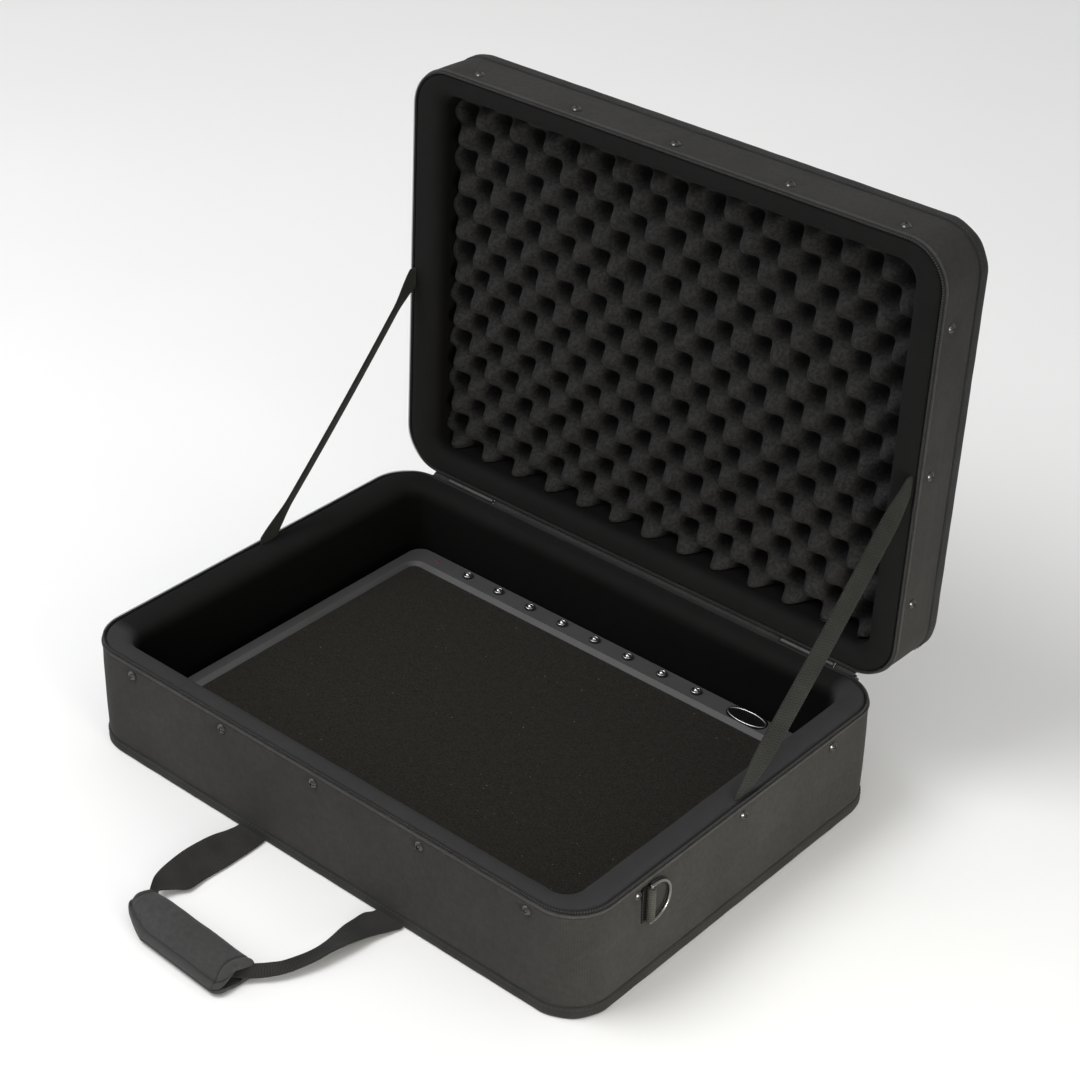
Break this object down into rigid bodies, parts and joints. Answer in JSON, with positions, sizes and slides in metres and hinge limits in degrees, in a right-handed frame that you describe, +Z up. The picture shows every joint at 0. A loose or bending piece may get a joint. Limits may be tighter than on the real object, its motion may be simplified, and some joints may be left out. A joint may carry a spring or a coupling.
{
  "type": "padded carry case",
  "caption": "Soft-sided hinged carry case, open, with plush-lined walls, egg-crate foam in the lid, webbing handles and a lift-out loop-topped board.",
  "frame": {"origin": "middle of the base's underside, on the surface it stands on", "axes": "+X to the case's right, +Y towards the hinge side, +Z up"},
  "size_m": [0.5746, 0.6393, 0.5102],
  "materials": {
    "case_fabric": "woven nylon",
    "panel_fabric": "woven nylon",
    "binding_tape": "ribbed tape",
    "plush": "brushed plush",
    "piping": "woven cord",
    "zip_tape": "zip tape with coil",
    "webbing": "ribbed webbing",
    "stay_webbing": "ribbed webbing",
    "grip_fabric": "woven nylon, stitched border",
    "foam": "open-cell foam",
    "plywood": "raw",
    "black_screw": "black zinc",
    "ring_steel": "polished",
    "hinge_steel": "satin",
    "zip_metal": "black",
    "board_plastic": "fine grain",
    "loop_pile": "loop pile",
    "socket_plastic": "gloss",
    "socket_chrome": "polished",
    "led_red": "clear red",
    "badge": "satin",
    "laminate": "satin",
    "foot_rubber": "matte"
  },
  "bodies": {
    "base": {"base_core": "plywood", "base_cover": "case_fabric", "base_bottom_panel": "panel_fabric", "base_bottom_binding": "binding_tape", "base_liner": "plush", "base_floor_pad": "plush", "base_piping": "piping", "base_zip_tape": "zip_tape", "base_screws": "black_screw", "dring_tab_right": "webbing", "dring_tab_left": "webbing", "handle_anchor_webs": "webbing", "hinge_base_leaves": "hinge_steel", "hinge_pins": "hinge_steel", "hinge_screws_base": "hinge_steel", "fabric_hinge": "panel_fabric", "stay_strap_right": "stay_webbing", "stay_strap_left": "stay_webbing"},
    "lid": {"lid_core": "plywood", "lid_cover": "case_fabric", "lid_top_panel": "panel_fabric", "lid_top_binding": "binding_tape", "lid_liner": "plush", "lid_piping": "piping", "lid_zip_tape": "zip_tape", "lid_screws": "black_screw", "lid_foam": "foam", "lid_handle_anchors": "webbing", "hinge_lid_leaves": "hinge_steel", "hinge_screws_lid": "hinge_steel"},
    "base_handle": {"base_handle_web": "webbing", "grip_wrap": "grip_fabric", "grip_padding": "foam"},
    "grip_flap": {"grip_flap": "grip_fabric"},
    "lid_handle": {"lid_handle_web": "webbing"},
    "dring_right": {"dring_right": "ring_steel"},
    "dring_left": {"dring_left": "ring_steel"},
    "zip_slider_right": {"zip_slider_right": "zip_metal"},
    "zip_slider_left": {"zip_slider_left": "zip_metal"},
    "zip_pull_right": {"zip_pull_right": "zip_metal"},
    "zip_pull_left": {"zip_pull_left": "zip_metal"},
    "board": {"board_top": "board_plastic", "board_base_plate": "board_plastic", "loop_pad": "loop_pile", "jack_bezels": "socket_plastic", "jack_contacts": "socket_chrome", "status_led": "led_red", "badge_plate": "badge", "circuit_board": "laminate", "power_inlet": "socket_plastic", "board_feet": "foot_rubber", "board_screws": "hinge_steel"}
  },
  "joints": [
    {"name": "lid_hinge", "type": "hinge", "parent": "base", "child": "lid", "pos_m": [0, 0.202, 0.1063], "axis": [-1, 0, 0], "range_deg": [-92, 0], "deforming": ["fabric_hinge", "stay_strap_right", "stay_strap_left"]},
    {"name": "board_lift", "type": "slide", "parent": "base", "child": "board", "axis": [0, 0, 1], "range_m": [0, 0.12]},
    {"name": "base_handle_swing", "type": "hinge", "parent": "base", "child": "base_handle", "pos_m": [0, -0.2026, 0.0013], "axis": [-1, 0, 0], "range_deg": [0, 75]},
    {"name": "grip_flap_open", "type": "hinge", "parent": "base_handle", "child": "grip_flap", "pos_m": [-0.00813, -0.31602, 0.0104], "axis": [-0.999, 0.0436, 0], "range_deg": [0, 80]},
    {"name": "lid_handle_swing", "type": "hinge", "parent": "lid", "child": "lid_handle", "pos_m": [0, 0.27958, 0.49983], "axis": [1, 0, 0], "range_deg": [0, 150]},
    {"name": "dring_right_swing", "type": "hinge", "parent": "base", "child": "dring_right", "pos_m": [0.284, -0.119, 0.079], "axis": [0, 0, -1], "range_deg": [0, 165]},
    {"name": "dring_left_swing", "type": "hinge", "parent": "base", "child": "dring_left", "pos_m": [-0.284, -0.119, 0.079], "axis": [0, 0, 1], "range_deg": [0, 165]},
    {"name": "zip_slider_right_travel", "type": "hinge", "parent": "base", "child": "zip_slider_right", "pos_m": [0.241, 0.161, 0.0997], "axis": [0, 0, -1], "range_deg": [0, 90]},
    {"name": "zip_slider_left_travel", "type": "hinge", "parent": "base", "child": "zip_slider_left", "pos_m": [-0.241, 0.161, 0.0997], "axis": [0, 0, 1], "range_deg": [0, 90]},
    {"name": "zip_pull_right_swing", "type": "hinge", "parent": "zip_slider_right", "child": "zip_pull_right", "pos_m": [0.241, 0.2076, 0.0982], "axis": [1, 0, 0], "range_deg": [0, 100]},
    {"name": "zip_pull_left_swing", "type": "hinge", "parent": "zip_slider_left", "child": "zip_pull_left", "pos_m": [-0.241, 0.2076, 0.0982], "axis": [1, 0, 0], "range_deg": [0, 100]}
  ]
}
